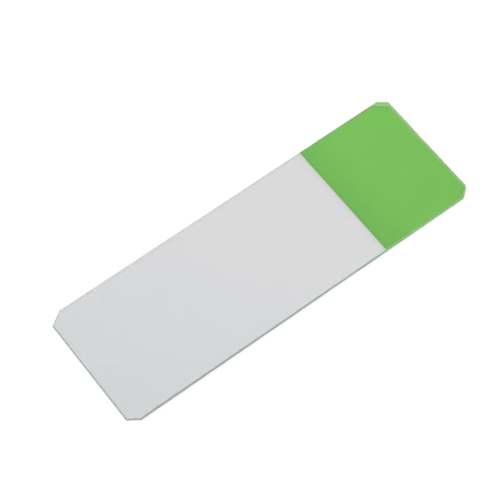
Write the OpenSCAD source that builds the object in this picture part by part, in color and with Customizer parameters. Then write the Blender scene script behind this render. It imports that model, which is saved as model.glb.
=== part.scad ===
// Microscope slide with a coloured label coat at one end.
//
// A flat glass plate with ground edges and four clipped corners. One end of the
// upper face carries an opaque coat to write on. The coat reaches both long
// sides, and stops just short of the end edge and of the two clipped corners.
//
// Millimetres, +Z up. The origin is the middle of the underside, +X points to
// the labelled end, and +Y runs across the plate from its near side to its far
// side. The clips and the printed field are a little uneven from side to side.

/* [Glass plate] */
// Length of the plate, end to end
plate_l = 75; // [70:0.5:80]
// Width of the plate, side to side
plate_w = 25; // [20:0.5:30]
// Thickness of the glass
plate_t = 1; // [0.8:0.05:1.5]
// Leg of the 45 degree arris ground along every edge
arris = 0.06; // [0.03:0.01:0.1]

/* [Clipped corners] */
// Length along the side of both clips at the labelled end
label_clip_l = 1.7; // [1:0.05:3]
// Width across the end of both clips at the labelled end
label_clip_w = 1.3; // [0.8:0.05:3]
// Length along the side of the clip at the plain end, near side
near_clip_l = 2.1; // [1:0.05:3]
// Width across the end of the clip at the plain end, near side
near_clip_w = 1.45; // [0.8:0.05:3]
// Length along the side of the clip at the plain end, far side
far_clip_l = 2.5; // [1:0.05:3]
// Width across the end of the clip at the plain end, far side
far_clip_w = 1.65; // [0.8:0.05:3]

/* [Label coat] */
// Distance from the labelled end to the inner edge of the coat
label_l = 19.7; // [15:0.1:30]
// Thickness of the coat
coat_t = 0.03; // [0.02:0.01:0.1]
// Bare glass left between the coat and the end edge
end_margin = 0.5; // [0.2:0.05:1]
// How much longer the coat's cut is than the clip beside it, near side
near_step = 0.55; // [0.4:0.05:2]
// How much longer the coat's cut is than the clip beside it, far side
far_step = 1.3; // [0.4:0.05:2]

/* [Hidden] */

half_l = plate_l / 2;
half_w = plate_w / 2;
glass_colour = [0.82, 0.85, 0.85, 0.6];
coat_colour = [0.48, 0.75, 0.36];

// The coat's own sides: it ends where the flat upper face meets the arris.
coat_from = half_l - label_l;
coat_to = half_l - end_margin;
coat_half_w = half_w - arris;

// The plate seen from above, corner by corner from the plain end. Both legs of
// the clips at the labelled end may be made longer, by near and by far.
function outline(near = 0, far = 0) = [
    [near_clip_l - half_l, -half_w],
    [half_l - label_clip_l - near, -half_w],
    [half_l, label_clip_w + near - half_w],
    [half_l, half_w - label_clip_w - far],
    [half_l - label_clip_l - far, half_w],
    [far_clip_l - half_l, half_w],
    [-half_l, half_w - far_clip_w],
    [-half_l, near_clip_w - half_w],
];

// All that lies inwards of one eased side of the plate. The side faces the given
// direction, stands at the distance reach from the origin and has an arris at
// its top and at its foot.
module within_side(facing, reach) {
    section = [
        [-plate_l, 0],
        [reach - arris, 0],
        [reach, arris],
        [reach, plate_t - arris],
        [reach - arris, plate_t],
        [-plate_l, plate_t],
    ];
    rotate([0, 0, facing])
        rotate([90, 0, 0])
            linear_extrude(2 * plate_l, center = true) polygon(section);
}

// The glass itself: what lies within all the eased sides of its outline.
module glass_plate() {
    rim = outline();
    color(glass_colour)
        intersection_for (i = [0 : len(rim) - 1]) {
            run = rim[(i + 1) % len(rim)] - rim[i];
            facing = atan2(run.y, run.x) - 90;
            within_side(facing, rim[i] * [cos(facing), sin(facing)]);
        }
}

// The coat lies on the upper face: a plain field with its outer corners cut
// further back than the clips of the plate.
module label_coat() {
    color(coat_colour)
        translate([0, 0, plate_t])
            linear_extrude(coat_t)
                intersection() {
                    translate([coat_from, -coat_half_w])
                        square([coat_to - coat_from, 2 * coat_half_w]);
                    polygon(outline(near_step, far_step));
                }
}

glass_plate();
label_coat();
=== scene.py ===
"""Dresses a microscope slide: a clear glass plate with ground edges and a green label coat.

The plate and the coat are rebuilt on the outlines of the CAD solids, with the fine
unevenness that grinding and printing leave, and stand in for them.

All lengths are metres. Bearings are degrees, counted from +X towards +Y. Where a finish
changes over a distance, a pair of numbers says where the change starts and where it ends.
"""

import logging
import math
import random
from dataclasses import dataclass, field
from enum import Enum
from typing import Any

import bpy
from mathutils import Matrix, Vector

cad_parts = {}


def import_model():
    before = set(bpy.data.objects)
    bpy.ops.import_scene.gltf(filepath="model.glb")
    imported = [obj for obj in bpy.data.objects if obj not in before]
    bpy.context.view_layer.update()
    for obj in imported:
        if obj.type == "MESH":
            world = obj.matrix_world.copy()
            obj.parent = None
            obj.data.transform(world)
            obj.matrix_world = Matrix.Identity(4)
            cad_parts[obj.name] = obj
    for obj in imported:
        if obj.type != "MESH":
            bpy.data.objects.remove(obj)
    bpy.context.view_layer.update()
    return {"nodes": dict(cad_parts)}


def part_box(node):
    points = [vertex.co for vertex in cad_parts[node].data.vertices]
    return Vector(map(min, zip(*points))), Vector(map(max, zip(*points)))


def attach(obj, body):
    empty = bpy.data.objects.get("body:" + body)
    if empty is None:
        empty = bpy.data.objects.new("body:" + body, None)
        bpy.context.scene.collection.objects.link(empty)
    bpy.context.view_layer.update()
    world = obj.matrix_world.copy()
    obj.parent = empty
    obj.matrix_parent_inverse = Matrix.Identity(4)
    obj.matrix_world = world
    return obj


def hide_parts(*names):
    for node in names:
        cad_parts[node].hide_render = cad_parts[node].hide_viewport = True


LOG = logging.getLogger("slide")
ROOT = "root"
MM = 0.001

# Points closer than SLACK are one point. A unit vector lies along an axis when its part
# along that axis is above STRAIGHT.
SLACK = 1e-6
STRAIGHT = 0.99

# How strongly soda-lime glass bends light.
GLASS_INDEX = 1.52

# The values of a noise texture lie between these two, apart from a few.
NOISE_RANGE = (0.3, 0.7)

# The colour sockets of a Mix node share their names with others, so they go by number.
MIX_FIRST, MIX_SECOND, MIX_RESULT = 6, 7, 2

Colour = tuple[float, float, float, float]
Point = tuple[float, float, float]
Pair = tuple[float, float]
Socket = bpy.types.NodeSocket
Value = Socket | float
Tone = Socket | Colour

# Painted light: a paler copy of the ground-glass frost and inner colour for the cut corners,
# which makes them read lighter.
LIT_CLIP_FROST: Colour = (0.80, 0.82, 0.815, 1.0)
LIT_CLIP_WITHIN: Colour = (0.995, 0.995, 0.995, 1.0)
# Painted light: the green that light from the coat gives the ground sides under it, as their
# frost and inner colour.
PAINTED_COAT_GLOW: Colour = (0.41, 0.79, 0.29, 1.0)
PAINTED_COAT_GLOW_WITHIN: Colour = (0.80, 0.95, 0.74, 1.0)
# Painted shade: the ink colour next to the clear glass.
INK_PAINTED_SHADE: Colour = (0.255, 0.635, 0.143, 1.0)
INK_RIDGE: Colour = (0.265, 0.572, 0.153, 1.0)
INK_RUBBED: Colour = (0.40, 0.42, 0.24, 1.0)
RIDGE: Pair = (0.3 * MM, 0.66 * MM)


def scaled(colour: Colour, factor: float) -> Colour:
    """Returns a colour made stronger or weaker by a factor, and never above full strength."""
    red, green, blue, alpha = colour
    return (min(1.0, factor * red), min(1.0, factor * green), min(1.0, factor * blue), alpha)


def heading(bearing: float) -> Vector:
    """Returns the unit vector that points along a bearing, seen from above."""
    turn = math.radians(bearing)
    return Vector((math.cos(turn), math.sin(turn)))


def leftwards(way: Vector) -> Vector:
    """Returns a direction turned a quarter counter-clockwise, seen from above."""
    return Vector((-way.y, way.x))


class PlateFace(Enum):
    """The finishes of the glass plate, in the order of its material slots."""

    POLISHED = 0
    GROUND = 1
    CLIPPED = 2
    FILMED = 3
    STAINED = 4


class CoatEdge(Enum):
    """The kinds of edge that the label coat has."""

    INNER = "towards the clear glass"
    CUT = "across an outer corner"
    FAR = "along the far side"
    PLAIN = "along the near side or the labelled end"

    @classmethod
    def facing(cls, inward: Vector) -> "CoatEdge":
        """Tells what kind of edge it is.

        Args:
            inward: The edge's inward normal.

        Returns:
            The kind of edge.
        """
        if inward.x > STRAIGHT:
            return cls.INNER
        if inward.y < -STRAIGHT:
            return cls.FAR
        if inward.y > STRAIGHT or inward.x < -STRAIGHT:
            return cls.PLAIN
        return cls.CUT


@dataclass(frozen=True)
class Column:
    """A place on an outline, where the points of a rim stand above each other.

    Attributes:
        foot: Where it is, seen from above.
        inward: The way inwards.
        travelled: How far round the outline it is.
        side: Number of the side that it is on.
    """

    foot: Vector
    inward: Vector
    travelled: float
    side: int

    def at(self, inset: float, height: float) -> Point:
        """Returns the point at an inset from the outline and a height."""
        point = self.foot + self.inward * inset
        return (point.x, point.y, height)


@dataclass(frozen=True)
class Outline:
    """A convex outline seen from above.

    Attributes:
        corners: Its corners in order, counter-clockwise. Each starts the side of its number.
    """

    corners: tuple[Vector, ...]

    @classmethod
    def of_node(cls, node: bpy.types.Object, low: float, high: float) -> "Outline":
        """Reads the outline that a CAD solid has between two heights.

        Args:
            node: The CAD solid, with its place in its vertices.
            low: Lowest height at which a vertex counts.
            high: Highest height at which a vertex counts.

        Returns:
            The outline through those vertices.
        """
        found: list[Vector] = []
        for vertex in node.data.vertices:
            point = vertex.co.xy
            if low <= vertex.co.z <= high and all((point - p).length > SLACK for p in found):
                found.append(point)
        middle = sum(found, Vector((0.0, 0.0))) / len(found)
        found.sort(key=lambda p: math.atan2(p.y - middle.y, p.x - middle.x))
        return cls(tuple(found))

    def crossed(self, x: float) -> "Outline":
        """Adds a corner wherever the outline crosses one x.

        Args:
            x: Where the outline is crossed.

        Returns:
            The outline with those corners among the others.
        """
        corners: list[Vector] = []
        for index in range(len(self.corners)):
            start, end = self.ends(index)
            corners.append(start)
            if (start.x - x) * (end.x - x) < 0:
                corners.append(start.lerp(end, (x - start.x) / (end.x - start.x)))
        return Outline(tuple(corners))

    def worn(self, place: Vector, leg: float) -> "Outline":
        """Cuts off the corner that is nearest to a place.

        Args:
            place: Where the corner is looked for.
            leg: How far the cut runs along both sides of the corner.

        Returns:
            The outline with two corners instead of that one.
        """
        index = min(range(len(self.corners)), key=lambda k: (self.corners[k] - place).length)
        corner = self.corners[index]
        before, _ = self.side(index - 1)
        after, _ = self.side(index)
        cut = (corner - before * leg, corner + after * leg)
        return Outline(self.corners[:index] + cut + self.corners[index + 1 :])

    def ends(self, index: int) -> tuple[Vector, Vector]:
        """Returns the corners that a side starts from and runs to."""
        return self.corners[index], self.corners[(index + 1) % len(self.corners)]

    def side(self, index: int) -> tuple[Vector, Vector]:
        """Tells how a side lies.

        Args:
            index: Number of the side.

        Returns:
            Its direction and its inward normal.
        """
        start, end = self.ends(index)
        along = (end - start).normalized()
        return along, leftwards(along)

    def is_straight(self, index: int) -> bool:
        """Tells whether a side runs along the plate or straight across it."""
        along, _ = self.side(index)
        return max(abs(along.x), abs(along.y)) > STRAIGHT

    def columns(self, step: float) -> list[Column]:
        """Spreads columns along the outline, with one on every corner.

        Args:
            step: Greatest distance between two neighbours.

        Returns:
            The columns in order.
        """
        made: list[Column] = []
        travelled = 0.0
        for index in range(len(self.corners)):
            start, end = self.ends(index)
            _, before = self.side(index - 1)
            along, inward = self.side(index)
            # On a corner the way inwards is longer, so that both sides move by the inset.
            mitre = (before + inward) / (1 + before.dot(inward))
            length = (end - start).length
            count = max(1, math.ceil(length / step))
            for k in range(count):
                run = length * k / count
                way = inward if k else mitre
                made.append(Column(start + along * run, way, travelled + run, index))
            travelled += length
        return made


class NodeSheet:
    """A material's node tree, with short calls to add nodes and join them."""

    def __init__(self, name: str) -> None:
        """Starts an empty tree with its output node.

        Args:
            name: Name of the material.
        """
        self.material = bpy.data.materials.new(name)
        self.material.use_nodes = True
        self.tree = self.material.node_tree
        self.tree.nodes.clear()
        self.output = self.tree.nodes.new("ShaderNodeOutputMaterial")

    def add(
        self, kind: str, inputs: dict[str | int, Any] | None = None, **settings: Any
    ) -> bpy.types.ShaderNode:
        """Adds a node.

        Args:
            kind: Blender's name of the node, without its ShaderNode prefix.
            inputs: Values or output sockets for its input sockets, by name or number.
            settings: Attributes of the node.

        Returns:
            The node.
        """
        node = self.tree.nodes.new("ShaderNode" + kind)
        for key, value in settings.items():
            setattr(node, key, value)
        for key, value in (inputs or {}).items():
            if isinstance(value, Socket):
                self.tree.links.new(value, node.inputs[key])
            else:
                node.inputs[key].default_value = value
        return node

    def calc(self, operation: str, *values: Value, clamp: bool = False) -> Socket:
        """Returns the result of one arithmetic step on numbers or sockets."""
        inputs = dict(enumerate(values))
        return self.add("Math", inputs, operation=operation, use_clamp=clamp).outputs[0]

    def blend(self, factor: Value, first: Tone, second: Tone, **settings: Any) -> Socket:
        """Returns the colour between two colours at a factor, or as the settings join them."""
        inputs = {"Factor": factor, MIX_FIRST: first, MIX_SECOND: second}
        return self.add("Mix", inputs, data_type="RGBA", **settings).outputs[MIX_RESULT]

    def mix(
        self, factor: Value, first: bpy.types.ShaderNode, second: bpy.types.ShaderNode
    ) -> Socket:
        """Returns the shader between the shaders of two nodes at a factor."""
        inputs = {0: factor, 1: first.outputs[0], 2: second.outputs[0]}
        return self.add("MixShader", inputs).outputs[0]

    def place(self) -> Socket:
        """Returns the object's own coordinates."""
        return self.add("TexCoord").outputs["Object"]

    def height(self) -> Socket:
        """Returns how high a place lies."""
        return self.add("SeparateXYZ", {"Vector": self.place()}).outputs["Z"]

    def away(self, foot: Vector, inward: Vector) -> Socket:
        """Measures how far a place lies from a line, seen from above.

        Args:
            foot: A point of the line.
            inward: Unit vector across the line, towards the side that counts as positive.

        Returns:
            That distance.
        """
        inputs = {0: self.place(), 1: (inward.x, inward.y, 0.0)}
        across = self.add("VectorMath", inputs, operation="DOT_PRODUCT").outputs["Value"]
        return self.calc("SUBTRACT", across, inward.dot(foot))

    def noise(self, scale: float, detail: float = 2.0) -> Socket:
        """Returns a cloudy value with features about 1 / scale apart."""
        inputs = {"Vector": self.place(), "Scale": scale, "Detail": detail}
        return self.add("TexNoise", inputs).outputs["Fac"]

    def spread(self, value: Value, span: Pair, results: Pair) -> Socket:
        """Carries a value from one range to another and keeps it within that one.

        Args:
            value: The value.
            span: The range that it comes from.
            results: What both ends of that range become.

        Returns:
            The value in its new range.
        """
        inputs = {
            "Value": value,
            "From Min": span[0],
            "From Max": span[1],
            "To Min": results[0],
            "To Max": results[1],
        }
        return self.add("MapRange", inputs).outputs["Result"]

    def rise(self, value: Value, span: Pair) -> Socket:
        """Returns a share that is none up to a span and whole after it."""
        return self.spread(value, span, (0.0, 1.0))

    def fade(self, value: Value, span: Pair, strength: float = 1.0) -> Socket:
        """Returns a strength that holds up to a span and is gone after it."""
        return self.spread(value, span, (strength, 0.0))

    def bump(self, height: Value, distance: float) -> Socket:
        """Returns a normal disturbed by a height."""
        return self.add("Bump", {"Distance": distance, "Height": height}).outputs["Normal"]

    def surface(self, shader: Socket) -> bpy.types.Material:
        """Joins a shader to the output and returns the material."""
        self.tree.links.new(shader, self.output.inputs["Surface"])
        return self.material


@dataclass(frozen=True)
class PolishedGlass:
    """Drawn soda-lime glass: clear, faintly grey, with painted shade at the plain end and one
    scratch.

    Attributes:
        tint: Colour of the clear glass.
        painted_shade: Colour where the painted shade, a darker grey standing in for shade, is
            deepest.
        painted_shade_bearing: Bearing along which the painted shade thins out.
        painted_shade_reach: How far it reaches.
        smudge_scale: How many features of the smudges there are to a metre.
        smudge_detail: How many times they are broken up into finer ones.
        smudge_range: Part of the noise over which a smudge sets in.
        smudge_roughness: Roughness in the midst of a smudge.
        scratch: Colour of the scratch.
        scratch_roughness: Roughness of the scratch, at full strength.
        scratch_strength: How strong it is in its middle.
        scratch_place: Its middle, counted from the near corner of the plain end.
        scratch_bearing: Bearing that it runs along.
        scratch_half: Where it fades out along its length, from its middle.
        scratch_side: Where it fades out across its width, from its middle.
    """

    tint: Colour = (0.80, 0.80, 0.81, 1.0)
    painted_shade: Colour = (0.735, 0.757, 0.767, 1.0)
    painted_shade_bearing: float = 32.0
    painted_shade_reach: float = 38.0 * MM
    smudge_scale: float = 90.0
    smudge_detail: float = 4.0
    smudge_range: Pair = (0.52, 0.72)
    smudge_roughness: float = 0.05
    scratch: Colour = (0.92, 0.92, 0.92, 1.0)
    scratch_roughness: float = 0.3
    scratch_strength: float = 0.45
    scratch_place: Pair = (4.3 * MM, 11.9 * MM)
    scratch_bearing: float = -31.6
    scratch_half: Pair = (1.74 * MM, 2.9 * MM)
    scratch_side: Pair = (0.03 * MM, 0.09 * MM)

    def scratched(self, sheet: NodeSheet, corner: Vector) -> Socket:
        """Draws the faint scratch near the plain end.

        Args:
            sheet: The sheet that the nodes go on.
            corner: The near corner of the plain end.

        Returns:
            How strongly a place is scratched.
        """
        middle = corner + Vector(self.scratch_place)
        along = heading(self.scratch_bearing)
        run = sheet.calc("ABSOLUTE", sheet.away(middle, along))
        off = sheet.calc("ABSOLUTE", sheet.away(middle, leftwards(along)))
        lengthwise = sheet.fade(run, self.scratch_half, self.scratch_strength)
        return sheet.calc("MULTIPLY", lengthwise, sheet.fade(off, self.scratch_side))

    def material(self, corner: Vector) -> bpy.types.Material:
        """Builds the glass of the plate's broad faces.

        Args:
            corner: The near corner of the plain end, where the painted shade is deepest.

        Returns:
            The glass.
        """
        sheet = NodeSheet("polished_glass")
        # Painted shade: the glass turns a darker grey towards the near corner of the plain end.
        away = sheet.away(corner, heading(self.painted_shade_bearing))
        clear = sheet.blend(sheet.fade(away, (0.0, self.painted_shade_reach)), self.tint, self.painted_shade)
        scratched = self.scratched(sheet, corner)
        scraped = sheet.calc("MULTIPLY", scratched, self.scratch_roughness)
        smear = sheet.noise(self.smudge_scale, self.smudge_detail)
        smudged = sheet.spread(smear, self.smudge_range, (0.0, self.smudge_roughness))
        inputs = {
            "Base Color": sheet.blend(scratched, clear, self.scratch),
            "Roughness": sheet.calc("MAXIMUM", smudged, scraped),
            "IOR": GLASS_INDEX,
            "Transmission Weight": 1.0,
        }
        return sheet.surface(sheet.add("BsdfPrincipled", inputs).outputs[0])


@dataclass(frozen=True)
class CoatShadedGlass:
    """The margins round the coat: polished glass with a thin green film that paints the coat's
    shade and light.

    Attributes:
        coat_shade_near: Colour of the painted shade along the near side, where it is deepest.
        coat_shade_far: Colour of the painted shade along the far side, where it is lighter.
        cloud_scale: How many clouds in the film there are to a metre.
        cloud_detail: How many times they are broken up into finer ones.
        cloud: Greatest share by which a cloud makes the film thicker or thinner.
        roughness: Roughness where a cloud makes the film thickest and where thinnest.
        clearness: Share of the light that goes through.
    """

    coat_shade_near: Colour = (0.24, 0.515, 0.15, 1.0)
    coat_shade_far: Colour = (0.295, 0.60, 0.19, 1.0)
    cloud_scale: float = 700.0
    cloud_detail: float = 3.0
    cloud: float = 0.2
    roughness: Pair = (0.25, 0.4)
    clearness: float = 0.35

    def material(self, near: Vector, far: Vector) -> bpy.types.Material:
        """Builds the glass of the upper face at the labelled end.

        Args:
            near: A place on the near side, where the painted shade is deepest.
            far: The place across from it on the far side.

        Returns:
            The glass.
        """
        sheet = NodeSheet("coat_shaded_glass")
        swing = (-self.cloud, self.cloud)
        noise = sheet.noise(self.cloud_scale, self.cloud_detail)
        cloud = sheet.spread(noise, NOISE_RANGE, swing)
        across = far - near
        share = sheet.rise(sheet.away(near, across.normalized()), (0.0, across.length))
        thin = sheet.calc("ADD", share, cloud, clamp=True)
        # Painted shade and light: the margin glass is tinted green, darkest along the near side.
        inputs = {
            "Base Color": sheet.blend(thin, self.coat_shade_near, self.coat_shade_far),
            "Roughness": sheet.spread(cloud, swing, self.roughness),
            "IOR": GLASS_INDEX,
            "Transmission Weight": self.clearness,
        }
        return sheet.surface(sheet.add("BsdfPrincipled", inputs).outputs[0])


@dataclass(frozen=True)
class GroundGlass:
    """Glass ground with fine abrasive: frosted from outside, still a mirror from within.

    Attributes:
        name: Name of the material.
        frost: Colour of the frost.
        painted_coat_light: By what share the frost is painted lighter next to the coat than at
            the plain end, as light from the coat would make it.
        painted_foot_shading: Factor on the frost at the foot of a side: painted shade below one,
            painted light above one.
        foot: Heights between which that painted factor is left behind.
        painted_head_highlight: Factor on the frost at the head of a side, a painted highlight
            above one.
        head: Heights between which that painted highlight sets in.
        clearness: Share of the light that goes through the frost.
        roughness: Roughness of the frost.
        unevenness: Greatest change of that roughness by the grain, either way.
        grain: Distance between two grains.
        grain_detail: How many times they are broken up into finer ones.
        relief: Depth of the grain.
        within: Colour of the glass from within.
        painted_coat_light_within: By what share that colour is painted lighter next to the coat.
        onset: Power that keeps painted_coat_light and painted_coat_light_within back until near
            the coat.
        polish_within: Roughness of a side from within.
        arris_within: Roughness of its lower arris from within.
        arris: Heights between which the one turns into the other.
    """

    name: str
    frost: Colour = (0.35, 0.434, 0.416, 1.0)
    painted_coat_light: float = 0.0
    painted_foot_shading: float = 0.7
    foot: Pair = (0.3 * MM, 0.6 * MM)
    painted_head_highlight: float = 1.0
    head: Pair = (0.65 * MM, 0.95 * MM)
    clearness: float = 0.4
    roughness: float = 0.38
    unevenness: float = 0.08
    grain: float = 0.06 * MM
    grain_detail: float = 3.0
    relief: float = 0.004 * MM
    within: Colour = (0.925, 0.93, 0.93, 1.0)
    painted_coat_light_within: float = 0.0
    onset: float = 4.0
    polish_within: float = 0.2
    arris_within: float = 0.6
    arris: Pair = (0.08 * MM, 0.14 * MM)

    def outside(self, sheet: NodeSheet, share: Socket) -> bpy.types.ShaderNode:
        """Makes the frost that is seen from outside.

        Args:
            sheet: The sheet that the nodes go on.
            share: How near a place is to the coat.

        Returns:
            The frost's shader.
        """
        # Painted light: the frost turns lighter towards the coat.
        frost = sheet.blend(share, self.frost, scaled(self.frost, 1 + self.painted_coat_light))
        height = sheet.height()
        # Painted shade and highlight: the frost is darkened or lightened at the foot of a side
        # and lightened at its head.
        foot = sheet.spread(height, self.foot, (self.painted_foot_shading, 1.0))
        head = sheet.spread(height, self.head, (1.0, self.painted_head_highlight))
        shade = sheet.calc("MULTIPLY", foot, head)
        grain = sheet.noise(1 / self.grain, self.grain_detail)
        rough = (self.roughness - self.unevenness, self.roughness + self.unevenness)
        inputs = {
            "Base Color": sheet.blend(1.0, frost, shade, blend_type="MULTIPLY"),
            "Roughness": sheet.spread(grain, NOISE_RANGE, rough),
            "IOR": GLASS_INDEX,
            "Transmission Weight": self.clearness,
            "Normal": sheet.bump(grain, self.relief),
        }
        return sheet.add("BsdfPrincipled", inputs)

    def inside(self, sheet: NodeSheet, share: Socket) -> bpy.types.ShaderNode:
        """Makes the clear glass that light meets from within.

        Args:
            sheet: The sheet that the nodes go on.
            share: How near a place is to the coat.

        Returns:
            The clear glass's shader.
        """
        rough = (self.arris_within, self.polish_within)
        inputs = {
            # Painted light: the colour from within turns lighter towards the coat.
            "Base Color": sheet.blend(share, self.within, scaled(self.within, 1 + self.painted_coat_light_within)),
            "Roughness": sheet.spread(sheet.height(), self.arris, rough),
            "IOR": GLASS_INDEX,
            "Transmission Weight": 1.0,
        }
        return sheet.add("BsdfPrincipled", inputs)

    def material(self, start: Vector, length: float) -> bpy.types.Material:
        """Builds the glass of the plate's sides and arrises.

        Args:
            start: A place on the plain end.
            length: How far the coat is from there.

        Returns:
            The glass.
        """
        sheet = NodeSheet(self.name)
        along = sheet.rise(sheet.away(start, heading(0.0)), (0.0, length))
        share = sheet.calc("POWER", along, self.onset)
        from_within = sheet.add("NewGeometry").outputs["Backfacing"]
        shader = sheet.mix(from_within, self.outside(sheet, share), self.inside(sheet, share))
        return sheet.surface(shader)


@dataclass(frozen=True)
class EdgeLook:
    """How the ink's colour changes along one kind of edge.

    Attributes:
        edge: The kind of edge.
        colour: Colour at the edge.
        span: Where that colour fades out, from the edge.
        strength: How much of that colour there is at the edge.
    """

    edge: CoatEdge
    colour: Colour
    span: Pair
    strength: float = 1.0


@dataclass(frozen=True)
class PrintedCoat:
    """Satin green ink, screen printed and cured, thin enough to let some light through.

    It has painted shade that darkens it towards the clear glass, a ridge along that edge and both
    cut corners, and is rubbed grey along the far side.

    Attributes:
        ink: Colour of the ink.
        ink_cloud: Colour of its clouds.
        cloud_scale: How many clouds there are to a metre.
        cloud_detail: How many times they are broken up into finer ones.
        cloud_range: Part of the noise over which a cloud sets in.
        looks: The looks along the edges. A later one lies over an earlier one.
        grain_scale: How many grains there are to a metre.
        grain_detail: How many times they are broken up into finer ones.
        roughness: Least and greatest roughness.
        relief: Depth of the grain.
        through: Colour of the light that comes through.
        share_through: Share of the light that does.
    """

    ink: Colour = (0.31, 0.742, 0.153, 1.0)
    ink_cloud: Colour = (0.29, 0.732, 0.149, 1.0)
    cloud_scale: float = 160.0
    cloud_detail: float = 3.0
    cloud_range: Pair = (0.35, 0.65)
    looks: tuple[EdgeLook, ...] = (
        EdgeLook(CoatEdge.FAR, INK_RUBBED, (0.165 * MM, 0.275 * MM)),
        # Painted shade: the ink darkens over the 7 mm next to the clear glass.
        EdgeLook(CoatEdge.INNER, INK_PAINTED_SHADE, (0.0, 7.0 * MM)),
        EdgeLook(CoatEdge.INNER, INK_RIDGE, RIDGE, 0.8),
        EdgeLook(CoatEdge.CUT, INK_RIDGE, RIDGE, 0.3),
    )
    grain_scale: float = 9000.0
    grain_detail: float = 2.0
    roughness: Pair = (0.42, 0.56)
    relief: float = 0.002 * MM
    through: Colour = (0.35, 0.90, 0.20, 1.0)
    share_through: float = 0.4

    def edged(self, sheet: NodeSheet, tone: Socket, outline: Outline) -> Socket:
        """Changes the ink's colour along the edges of the coat.

        Args:
            sheet: The sheet that the nodes go on.
            tone: The colour of the field.
            outline: The outline of the coat.

        Returns:
            The colour of the field and its edges.
        """
        for index, corner in enumerate(outline.corners):
            _, inward = outline.side(index)
            edge = CoatEdge.facing(inward)
            for look in self.looks:
                if look.edge is edge:
                    share = sheet.fade(sheet.away(corner, inward), look.span, look.strength)
                    tone = sheet.blend(share, tone, look.colour)
        return tone

    def material(self, outline: Outline) -> bpy.types.Material:
        """Builds the ink of the label coat.

        Args:
            outline: The outline of the coat.

        Returns:
            The ink.
        """
        sheet = NodeSheet("label_ink")
        cloud = sheet.rise(sheet.noise(self.cloud_scale, self.cloud_detail), self.cloud_range)
        tone = sheet.blend(cloud, self.ink, self.ink_cloud)
        grain = sheet.noise(self.grain_scale, self.grain_detail)
        inputs = {
            "Base Color": self.edged(sheet, tone, outline),
            "Roughness": sheet.spread(grain, NOISE_RANGE, self.roughness),
            "Normal": sheet.bump(grain, self.relief),
        }
        front = sheet.add("BsdfPrincipled", inputs)
        back = sheet.add("BsdfTranslucent", {"Color": self.through})
        return sheet.surface(sheet.mix(self.share_through, front, back))


@dataclass(frozen=True)
class StudioFloor:
    """Pale matt table top that reads white to the eye and still takes a shadow.

    Attributes:
        colour: Its colour.
        speck: Factor on that colour in its specks.
        speck_scale: How many specks there are to a metre.
        lift: How bright it glows to the eye and in gloss.
        lift_through: How bright it glows through glass.
    """

    colour: Colour = (0.25, 0.25, 0.25, 1.0)
    speck: float = 0.99
    speck_scale: float = 400.0
    lift: float = 0.80
    lift_through: float = 0.668

    def material(self) -> bpy.types.Material:
        """Builds the table top. Its glow is seen, but lights nothing.

        Returns:
            The table top's finish.
        """
        sheet = NodeSheet("table_top")
        specks = sheet.noise(self.speck_scale)
        tone = sheet.blend(specks, self.colour, scaled(self.colour, self.speck))
        matt = sheet.add("BsdfDiffuse", {"Color": tone})
        path = sheet.add("LightPath").outputs
        through = path["Is Transmission Ray"]
        seen = sheet.calc("MAXIMUM", path["Is Camera Ray"], path["Is Glossy Ray"])
        seen = sheet.calc("MAXIMUM", seen, through)
        level = sheet.spread(through, (0.0, 1.0), (self.lift, self.lift_through))
        glow = sheet.add("Emission", {"Strength": sheet.calc("MULTIPLY", seen, level)})
        both = {0: matt.outputs[0], 1: glow.outputs[0]}
        return sheet.surface(sheet.add("AddShader", both).outputs[0])


@dataclass
class MeshMaker:
    """Collects points and faces, then makes one object of them.

    Attributes:
        name: Name of the object.
        points: The points so far.
        faces: The faces so far, each as the numbers of its points.
        slots: The material slot of each face.
    """

    name: str
    points: list[Point] = field(default_factory=list)
    faces: list[tuple[int, ...]] = field(default_factory=list)
    slots: list[int] = field(default_factory=list)

    def ring(self, points: list[Point]) -> list[int]:
        """Adds a closed ring of points.

        Args:
            points: The points in order, counter-clockwise seen from above.

        Returns:
            Their numbers.
        """
        start = len(self.points)
        self.points.extend(points)
        return list(range(start, len(self.points)))

    def band(self, lower: list[int], upper: list[int], slots: list[int] | None = None) -> None:
        """Joins two rings with four-sided faces, seen from outside.

        Args:
            lower: The lower ring.
            upper: The upper ring, with as many points.
            slots: Material slot of each face, or the first one for all if none are given.
        """
        for k in range(len(lower)):
            n = (k + 1) % len(lower)
            self.faces.append((lower[k], lower[n], upper[n], upper[k]))
            self.slots.append(slots[k] if slots else 0)

    def cap(self, ring: list[int], slot: int = 0, upwards: bool = True) -> None:
        """Closes a ring with one flat face."""
        self.faces.append(tuple(ring if upwards else reversed(ring)))
        self.slots.append(slot)

    def build(self, crease: float = 30.0) -> bpy.types.Object:
        """Makes the object.

        Args:
            crease: Angle in degrees above which an edge stays sharp.

        Returns:
            The object, linked to the scene.
        """
        mesh = bpy.data.meshes.new(self.name)
        mesh.from_pydata(self.points, [], self.faces)
        mesh.polygons.foreach_set("material_index", self.slots)
        mesh.polygons.foreach_set("use_smooth", [True] * len(self.faces))
        mesh.set_sharp_from_angle(angle=math.radians(crease))
        mesh.update()
        piece = bpy.data.objects.new(self.name, mesh)
        bpy.context.scene.collection.objects.link(piece)
        return piece


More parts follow.
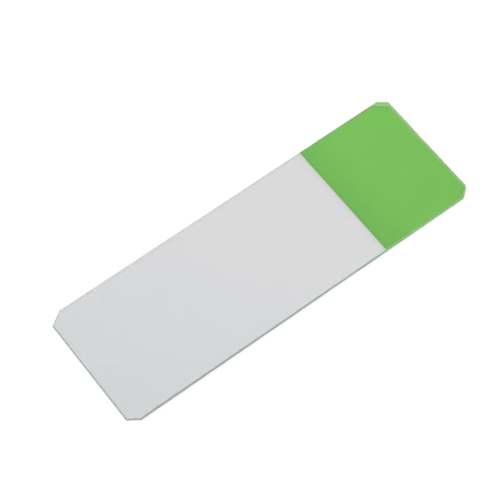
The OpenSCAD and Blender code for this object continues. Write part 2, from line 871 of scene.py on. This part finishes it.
@dataclass
class GlassPlate:
    """The plate: two polished faces, ground sides, and arrises with small nicks.

    Attributes:
        node: Name of the CAD plate.
        coat: Name of the CAD coat.
        overlap: How far the bare part of the upper face runs on under the coat.
        wear: How far the worn corner at the near side of the labelled end is cut back.
        step: Greatest distance between two columns of the rim.
        arris: Width of an arris.
        bulge: Where the middle of an arris lies, inwards and upwards, as a share of its
            width. Half would be a flat bevel, and less is rounder.
        waver: Greatest change of that width by the waver, either way.
        waves: How many waves the waver has.
        wave_strength: Least and greatest strength of a wave.
        wave_count: Least and greatest number of crests that a wave has all round.
        nicks: How many nicks an arris has.
        nick_reach: Least and greatest half length of a nick.
        nick_depth: Least and greatest depth of a nick.
        seed: Seed of the waver and the nicks.
    """

    node: str = "glass_plate"
    coat: str = "label_coat"
    overlap: float = 0.05 * MM
    wear: float = 0.4 * MM
    step: float = 0.25 * MM
    arris: float = 0.06 * MM
    bulge: float = 0.46
    waver: float = 0.012 * MM
    waves: int = 6
    wave_strength: Pair = (0.2, 1.0)
    wave_count: tuple[int, int] = (20, 160)
    nicks: int = 70
    nick_reach: Pair = (0.3 * MM, 1.0 * MM)
    nick_depth: Pair = (0.015 * MM, 0.055 * MM)
    seed: int = 6

    def eased(self, columns: list[Column], rim: float, source: random.Random) -> list[float]:
        """Works out the width of an arris at each column, with waver and nicks.

        Args:
            columns: The columns of the rim.
            rim: Length of the whole rim, to within a step.
            source: Where the chances come from.

        Returns:
            One width for each column.
        """
        waves = [
            (
                source.uniform(*self.wave_strength),
                source.randint(*self.wave_count),
                source.uniform(0, math.tau),
            )
            for _ in range(self.waves)
        ]
        total = sum(strength for strength, _, _ in waves)
        nicks = [
            (
                source.uniform(0, rim),
                source.uniform(*self.nick_reach),
                source.uniform(*self.nick_depth),
            )
            for _ in range(self.nicks)
        ]
        widths: list[float] = []
        for column in columns:
            turn = math.tau * column.travelled / rim
            wave = sum(s * math.sin(n * turn + p) for s, n, p in waves) / total
            width = self.arris + self.waver * wave
            for place, reach, depth in nicks:
                off = abs(column.travelled - place)
                off = min(off, rim - off) / reach
                width += depth * math.sqrt(1 - off * off) if off < 1 else 0.0
            widths.append(width)
        return widths

    def rings(self, maker: MeshMaker, columns: list[Column]) -> list[list[int]]:
        """Adds the rings of the rim, from the underside up to the upper face.

        Args:
            maker: The maker that takes the points.
            columns: The columns of the rim.

        Returns:
            The numbers of each ring's points.
        """
        low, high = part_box(self.node)
        rim = columns[-1].travelled + self.step
        source = random.Random(self.seed)
        foot = self.eased(columns, rim, source)
        head = self.eased(columns, rim, source)
        section = ((1.0, 0.0), (self.bulge, self.bulge), (0.0, 1.0))
        lower = [
            maker.ring([c.at(w * inset, low.z + w * rise) for c, w in zip(columns, foot)])
            for inset, rise in section
        ]
        upper = [
            maker.ring([c.at(w * inset, high.z - w * drop) for c, w in zip(columns, head)])
            for inset, drop in reversed(section)
        ]
        return lower + upper

    def build(self, solid: bpy.types.Object) -> bpy.types.Object:
        """Builds the plate on the outline of the CAD plate.

        Args:
            solid: The CAD plate.

        Returns:
            The plate.
        """
        low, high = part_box(self.node)
        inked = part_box(self.coat)[0].x + self.overlap
        # The solid's sides end an arris short of both its faces, so this leaves the faces out.
        margin = self.arris / 2
        outline = Outline.of_node(solid, low.z + margin, high.z - margin).crossed(inked)
        outline = outline.worn(Vector((high.x, low.y)), self.wear)
        columns = outline.columns(self.step)
        maker = MeshMaker("slide_glass")
        rings = self.rings(maker, columns)
        after = [column.foot.x > inked - SLACK for column in columns]
        slots: list[int] = []
        for column, here, there in zip(columns, after, after[1:] + after[:1]):
            plain = PlateFace.GROUND if outline.is_straight(column.side) else PlateFace.CLIPPED
            slots.append((PlateFace.STAINED if here and there else plain).value)
        for lower, upper in zip(rings, rings[1:]):
            maker.band(lower, upper, slots)
        maker.cap(rings[0], PlateFace.POLISHED.value, upwards=False)
        # The upper face is two flat pieces, bare and coat-shaded, which meet under the coat.
        bare = [n for n, column in zip(rings[-1], columns) if column.foot.x < inked + SLACK]
        maker.cap(bare, PlateFace.POLISHED.value)
        maker.cap([n for n, far in zip(rings[-1], after) if far], PlateFace.FILMED.value)
        return maker.build()

    def dress(self, piece: bpy.types.Object) -> None:
        """Gives the plate its kinds of glass.

        Args:
            piece: The plate.
        """
        low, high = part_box(self.node)
        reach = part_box(self.coat)[0].x - low.x
        ground = GroundGlass("ground_glass", painted_coat_light=0.6, painted_head_highlight=1.15, painted_coat_light_within=0.075)
        # The cut corners get that paler, painted-light copy of the ground glass.
        clipped = GroundGlass(
            "lit_clipped_glass", LIT_CLIP_FROST, painted_foot_shading=0.6, within=LIT_CLIP_WITHIN, polish_within=0.15
        )
        # Painted light: the sides under the coat are coloured green and lighter at the foot, as
        # the coat's light would colour them.
        coat_lit = GroundGlass("coat_lit_glass", PAINTED_COAT_GLOW, painted_foot_shading=1.15, within=PAINTED_COAT_GLOW_WITHIN)
        finishes = {
            PlateFace.POLISHED: PolishedGlass().material(low.xy),
            PlateFace.GROUND: ground.material(low.xy, reach),
            PlateFace.CLIPPED: clipped.material(low.xy, reach),
            PlateFace.FILMED: CoatShadedGlass().material(Vector((high.x, low.y)), high.xy),
            PlateFace.STAINED: coat_lit.material(low.xy, reach),
        }
        for face in PlateFace:
            piece.data.materials.append(finishes[face])


@dataclass
class LabelCoat:
    """The printed coat: a thin plateau with soft shoulders, bedded on the glass.

    Attributes:
        node: Name of the CAD coat.
        step: Greatest distance between two columns of the edge.
        bedding: How deep the coat is let into the glass, so that no gap shows.
        shoulder: Width of the shoulder.
        flank: How high the upright part of the edge is, as a share of the coat's thickness.
        bend: Where the shoulder bends over, as a share of its width and of the thickness.
        crease: Angle in degrees above which an edge stays sharp.
        waver: Greatest distance by which the edge is drawn in.
        seed: Seed of the waver.
        outline: The outline that the coat was built on.
    """

    node: str = "label_coat"
    step: float = 0.25 * MM
    bedding: float = 0.002 * MM
    shoulder: float = 0.06 * MM
    flank: float = 0.3
    bend: Pair = (0.3, 0.8)
    crease: float = 50.0
    waver: float = 0.012 * MM
    seed: int = 9
    outline: Outline = field(init=False)

    def build(self, solid: bpy.types.Object) -> bpy.types.Object:
        """Builds the coat on the outline of the CAD coat.

        Args:
            solid: The CAD coat.

        Returns:
            The coat.
        """
        low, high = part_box(self.node)
        self.outline = Outline.of_node(solid, low.z, high.z)
        columns = self.outline.columns(self.step)
        source = random.Random(self.seed)
        drawn_in = [source.uniform(0, self.waver) for _ in columns]
        thick = high.z - low.z
        section = (
            (0.0, low.z - self.bedding),
            (0.0, low.z + self.flank * thick),
            (self.bend[0], low.z + self.bend[1] * thick),
            (1.0, high.z),
        )
        maker = MeshMaker("label_print")
        rings = [
            maker.ring([c.at(i + share * self.shoulder, z) for c, i in zip(columns, drawn_in)])
            for share, z in section
        ]
        for lower, upper in zip(rings, rings[1:]):
            maker.band(lower, upper)
        maker.cap(rings[0], upwards=False)
        maker.cap(rings[-1])
        return maker.build(self.crease)

    def dress(self, piece: bpy.types.Object) -> None:
        """Gives the coat its ink."""
        piece.data.materials.append(PrintedCoat().material(self.outline))


@dataclass
class Studio:
    """The table top, the soft light and the camera.

    Attributes:
        floor_gap: How far the table top lies under the slide.
        floor_reach: Half the side of the table top.
        sky: How strongly the sky lights the slide. To the eye it is white.
        lamp_place: Where the lamp hangs.
        lamp_size: Its diameter.
        lamp_energy: Its power in watts.
        bounces: How many times light may turn on its way.
        azimuth: Where the camera stands, in degrees from the near side, counter-clockwise.
        elevation: How high it stands, in degrees above the table.
        distance: How far it is from the point that it looks at.
        lens: Its focal length in millimetres.
        clip_start: Least distance at which it sees.
        aim: The point that it looks at, from the middle of the slide.
    """

    floor_gap: float = 0.02 * MM
    floor_reach: float = 2.0
    sky: float = 0.86
    lamp_place: Point = (-0.25, 0.55, 0.8)
    lamp_size: float = 0.8
    lamp_energy: float = 1.7
    bounces: int = 64
    azimuth: float = -37.13
    elevation: float = 62.15
    distance: float = 345.0 * MM
    lens: float = 140.2
    clip_start: float = 10.0 * MM
    aim: Pair = (-1.073 * MM, 2.391 * MM)

    def lay_floor(self, height: float) -> None:
        """Lays the table top just under the slide.

        Args:
            height: Height of the slide's underside.
        """
        maker = MeshMaker("table_top")
        reach = self.floor_reach
        corners = [(-reach, -reach), (reach, -reach), (reach, reach), (-reach, reach)]
        maker.cap(maker.ring([(x, y, height - self.floor_gap) for x, y in corners]))
        floor = maker.build()
        floor.data.materials.append(StudioFloor().material())

    def light_sky(self) -> None:
        """Lights the table with an even sky, which itself looks white."""
        world = bpy.data.worlds.new("studio")
        world.use_nodes = True
        tree = world.node_tree
        level = tree.nodes.new("ShaderNodeMapRange")
        level.inputs["To Min"].default_value = self.sky
        level.inputs["To Max"].default_value = 1.0
        seen = tree.nodes.new("ShaderNodeLightPath").outputs["Is Camera Ray"]
        background = tree.nodes["Background"].inputs
        background["Color"].default_value = (1.0, 1.0, 1.0, 1.0)
        tree.links.new(seen, level.inputs["Value"])
        tree.links.new(level.outputs["Result"], background["Strength"])
        bpy.context.scene.world = world

    def hang_lamp(self) -> None:
        """Hangs one broad round lamp, turned to the middle of the table."""
        lamp = bpy.data.lights.new("overhead", "AREA")
        lamp.shape = "DISK"
        lamp.size = self.lamp_size
        lamp.energy = self.lamp_energy
        holder = bpy.data.objects.new("overhead", lamp)
        holder.location = self.lamp_place
        holder.rotation_euler = (-Vector(self.lamp_place)).to_track_quat("-Z", "Y").to_euler()
        bpy.context.scene.collection.objects.link(holder)

    def follow_light(self) -> None:
        """Lets light run its whole way inside the glass, without blurring it after a gloss."""
        paths = bpy.context.scene.cycles
        paths.blur_glossy = 0.0
        paths.glossy_bounces = self.bounces
        paths.transmission_bounces = self.bounces
        paths.max_bounces = self.bounces

    def place_camera(self, middle: Vector) -> None:
        """Sets the camera to look down on the slide across its near long side.

        Args:
            middle: The middle of the slide's underside.
        """
        turn, lift = math.radians(self.azimuth), math.radians(self.elevation)
        back = Vector(
            (math.sin(turn) * math.cos(lift), -math.cos(turn) * math.cos(lift), math.sin(lift))
        )
        camera = bpy.data.cameras.new("camera")
        camera.lens = self.lens
        camera.clip_start = self.clip_start
        holder = bpy.data.objects.new("camera", camera)
        holder.location = middle + Vector((*self.aim, 0.0)) + back * self.distance
        holder.rotation_euler = back.to_track_quat("Z", "Y").to_euler()
        bpy.context.scene.collection.objects.link(holder)
        bpy.context.scene.camera = holder


def main() -> None:
    """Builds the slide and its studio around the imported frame."""
    logging.basicConfig(level=logging.INFO, format="%(name)s: %(message)s")
    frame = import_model()
    low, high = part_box("glass_plate")
    middle = Vector(((low.x + high.x) / 2, (low.y + high.y) / 2, low.z))
    bpy.context.scene.view_settings.view_transform = "Standard"
    studio = Studio()
    studio.place_camera(middle)
    studio.lay_floor(low.z)
    studio.light_sky()
    studio.hang_lamp()
    studio.follow_light()
    for part, slot in ((GlassPlate(), "glass"), (LabelCoat(), "label_coat")):
        piece = part.build(frame["nodes"][part.node])
        part.dress(piece)
        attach(piece, ROOT)
        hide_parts(part.node)
        LOG.info("%s: %d faces", piece.name, len(piece.data.polygons))


if __name__ == "__main__":
    main()
